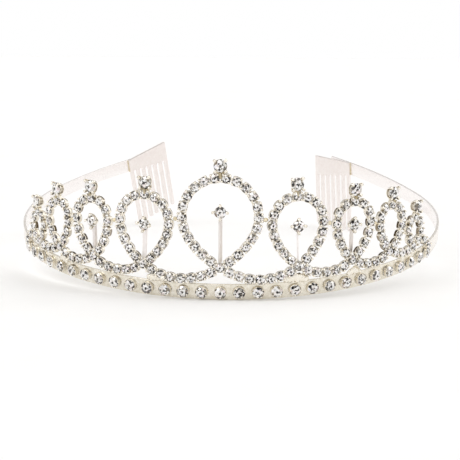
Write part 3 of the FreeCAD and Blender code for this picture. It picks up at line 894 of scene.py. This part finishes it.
def band_solder():
    """Flat, uneven fillets of solder behind the chain."""
    chance = random.Random(f"{SEED} mounds")
    piece = Piece("band_solder")
    for label, aside, half_width in MOUNDS:
        jewels = jewels_of(f"loop_stones_{label}", f"loop_cups_{label}")
        foot = min((jewel["place"].translation for jewel in jewels), key=lambda spot: spot.z)
        place = facing_out(foot)
        radius = MOUND_RADIUS + half_width * MOUND_GROWTH
        for number in range(MOUND_DROPS):
            along = 2 * number / (MOUND_DROPS - 1) - 1
            height = 1 - abs(along) * MOUND_TAPER
            spot = Vector((
                aside + along * half_width,
                chance.uniform(*MOUND_UP) + height * MOUND_RISE,
                chance.uniform(*MOUND_OUT),
            ))
            drop = blob(chance, radius, (1.0, 0.7 + height * 0.8, 0.5), 1.0)
            lean = Matrix.Rotation(chance.uniform(-MOUND_LEAN, MOUND_LEAN), 4, "Z")
            piece.add(place @ Matrix.Translation(spot * MM) @ lean, drop)
    piece.finish(METALS["cups"], [], True)


def top_edge(points):
    """The two ends of a comb's top edge, the free one first: the highest point, and of those in the
    far half the one that lies highest for its distance."""
    free = points[np.argmax(points[:, 2])]
    apart = np.hypot(*(points - free)[:, :2].T)
    far = apart > 0.5 * apart.max()
    slope = (points[far][:, 2] - free[2]) / apart[far]
    return Vector(free), Vector(points[far][np.argmax(slope)])


def comb_solder(side):
    """The seam of solder where the band's end lies on the comb."""
    chance = random.Random(f"{SEED} comb {side}")
    piece = Piece(f"comb_solder_{side}")
    points = solids_of(f"comb_{side}")[0]
    free, inner = top_edge(points)
    along = (inner - free).normalized()
    lowest = Vector(points[np.argmin(points[:, 2])])
    across = along.cross(lowest - free).normalized()
    down = across.cross(along)
    if down.z > 0:
        down = -down
    strip = STRIP_HEIGHT * MM
    for number in range(SEAM_DROPS):
        stray = along * chance.uniform(-SEAM_PLAY, SEAM_PLAY) * MM
        spot = inner + down * strip * (number + 0.6) / SEAM_DROPS + stray
        # Each drop gets a touch of painted shade.
        drop = blob(chance, chance.uniform(*SEAM_RADIUS), (0.7, 1.2, 0.7), 0.95)
        piece.add(facing_frame(spot, across), drop)
    piece.finish(METALS["solder"], [], True)


# ---------------------------------------------------------------- the whole tiara

# Points of a CAD mesh within this many metres of each other are joined. Edges that turn by more than
# this many degrees are softened.
SEAM_GAP = 0.000002
EDGE_ANGLE = 40


def keep_cad(node, material, softened):
    """A CAD node keeps its shape: its seams are closed, its metal is plated, and its edges are softened
    by a width in millimetres."""
    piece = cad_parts[node]
    piece.data.materials.clear()
    piece.data.materials.append(material)
    weld = piece.modifiers.new("weld", "WELD")
    weld.merge_threshold = SEAM_GAP
    bevel = piece.modifiers.new("soft_edges", "BEVEL")
    bevel.width = softened * MM
    bevel.segments = 3
    bevel.limit_method = "ANGLE"
    bevel.angle_limit = math.radians(EDGE_ANGLE)


def dress_tiara():
    """Every sub-part of the tiara gets its finished look."""
    keep_cad("headband", METALS["band"], 0.16)
    for side in SIDES:
        keep_cad(f"comb_{side}", METALS["comb"], 0.14)
    for label in STEMMED:
        keep_cad(f"stem_{label}", METALS["stem"], 0.12)
    jewel_row("band_cups", "band_stones", band_cup, sunk=SUNK, pavilion=SHALLOW)
    jewel_row("swag_cups", "swag_stones", chain_cup)
    for label in LOOPS:
        jewel_row(f"loop_cups_{label}", f"loop_stones_{label}", chain_cup)
        jewel_row(f"crown_setting_{label}", f"crown_stone_{label}", claw_setting)
    for label in STEMMED:
        jewel_row(f"solitaire_setting_{label}", f"solitaire_stone_{label}", claw_setting)
    solder_blobs()
    band_solder()
    for side in SIDES:
        comb_solder(side)


# ---------------------------------------------------------------- studio

# The floor's side, and the gap that keeps it clear of the tiara, in metres.
FLOOR_SIZE = 6.0
FLOOR_GAP = 0.00005

# The light tent's colours, from its few dark panels to its bright ones. To the left and right, as a
# direction's X goes from WALL_START to WALL_END, WALL_LIGHT takes over from them, up to WALL_SHARE.
TENT = [
    (0.36, (0.12, 0.1, 0.08)),
    (0.44, (0.5, 0.48, 0.45)),
    (0.54, (0.76, 0.75, 0.74)),
    (0.68, (1.2, 1.2, 1.2)),
]
WALL_LIGHT = (1.1, 1.1, 1.1, 1.0)
WALL_START = 0.5
WALL_END = 0.95
WALL_SHARE = 0.62
WHITE = (1.0, 1.0, 1.0, 1.0)

# Where the camera aims, from the middle of the tiara, and where it stands: metres and degrees. Its
# lens and sensor are in millimetres.
CAMERA_AIM = Vector((0.00053, -0.02514, -0.00781))
CAMERA_DISTANCE = 0.40526
CAMERA_AZIMUTH = 2.67
CAMERA_ELEVATION = 9.255
CAMERA_ROLL = 0.39
CAMERA_LENS = 96.53
CAMERA_SENSOR = 36.0


def white_floor():
    """A wide, pale floor that the tiara stands on."""
    bpy.ops.mesh.primitive_grid_add(x_subdivisions=8, y_subdivisions=8, size=FLOOR_SIZE)
    floor = bpy.context.object
    floor.name = "studio_floor"
    floor.location.z = cad_box[0].z - FLOOR_GAP
    material, tree, shader, place = new_material("studio_floor")
    grain = linked(tree, "ShaderNodeTexNoise", Vector=place, Scale=30.0, Detail=3.0)
    paper = ramp(tree, grain.outputs["Fac"], [(0.3, (0.93, 0.93, 0.93)), (0.7, (0.96, 0.96, 0.96))])
    tree.links.new(paper, shader.inputs["Base Color"])
    shader.inputs["Roughness"].default_value = 0.9
    shader.inputs["Specular IOR Level"].default_value = 0.1
    shader.inputs["Emission Color"].default_value = WHITE
    shader.inputs["Emission Strength"].default_value = 0.05
    floor.data.materials.append(material)


def studio_world():
    """White to the camera. In reflections it is a light tent with soft bright and dark panels, and
    brighter walls on its left and right."""
    world = bpy.data.worlds.new("studio")
    world.use_nodes = True
    bpy.context.scene.world = world
    tree = world.node_tree
    background = tree.nodes["Background"]
    way = tree.nodes.new("ShaderNodeTexCoord").outputs["Generated"]
    panels = linked(tree, "ShaderNodeTexNoise", Vector=way, Scale=2.6, Detail=1.5, Roughness=0.5)
    tent = ramp(tree, panels.outputs["Fac"], TENT)
    across = linked(tree, "ShaderNodeSeparateXYZ", Vector=way).outputs["X"]
    aside = linked(tree, "ShaderNodeMath", Value=across)
    aside.operation = "ABSOLUTE"
    flank = linked(
        tree,
        "ShaderNodeMapRange",
        Value=aside.outputs["Value"],
        From_Min=WALL_START,
        From_Max=WALL_END,
        To_Max=WALL_SHARE,
    )
    tent = mixed(tree, "MIX", flank.outputs["Result"], tent, WALL_LIGHT)
    sight = tree.nodes.new("ShaderNodeLightPath").outputs["Is Camera Ray"]
    color = mixed(tree, "MIX", sight, tent, WHITE)
    tree.links.new(color, background.inputs["Color"])
    background.inputs["Strength"].default_value = 1.0


def soft_sun(name, way, strength, spread):
    """A broad, even light that comes from a direction, spread over an angle in degrees."""
    light = bpy.data.lights.new(name, "SUN")
    light.energy = strength
    light.angle = math.radians(spread)
    lamp = bpy.data.objects.new(name, light)
    bpy.context.scene.collection.objects.link(lamp)
    lamp.rotation_euler = Vector(way).to_track_quat("Z", "Y").to_euler()


def studio_lights():
    """A key light from the front left and a fill from the right, both from high up."""
    soft_sun("key", (-0.5, -0.6, 1.0), 0.8, 50.0)
    soft_sun("fill", (0.8, 0.3, 1.0), 0.7, 70.0)


def product_camera():
    """The camera, in front of the tiara and a little above it."""
    data = bpy.data.cameras.new("camera")
    data.lens = CAMERA_LENS
    data.sensor_width = CAMERA_SENSOR
    data.clip_start = 0.02
    data.clip_end = 20.0
    camera = bpy.data.objects.new("camera", data)
    bpy.context.scene.collection.objects.link(camera)
    azimuth = math.radians(CAMERA_AZIMUTH)
    elevation = math.radians(CAMERA_ELEVATION)
    back = Vector((
        math.sin(azimuth) * math.cos(elevation),
        -math.cos(azimuth) * math.cos(elevation),
        math.sin(elevation),
    ))
    aim = (cad_box[0] + cad_box[1]) / 2 + CAMERA_AIM
    roll = Matrix.Rotation(math.radians(CAMERA_ROLL), 4, "Z")
    stand = Matrix.Translation(aim + back * CAMERA_DISTANCE)
    camera.matrix_world = stand @ (-back).to_track_quat("-Z", "Y").to_matrix().to_4x4() @ roll
    bpy.context.scene.camera = camera


def plain_color_view():
    """Colours as they are lit, without a film curve, as a catalogue picture shows them."""
    bpy.context.scene.view_settings.view_transform = "Standard"


product_camera()
dress_tiara()
white_floor()
studio_world()
studio_lights()
plain_color_view()
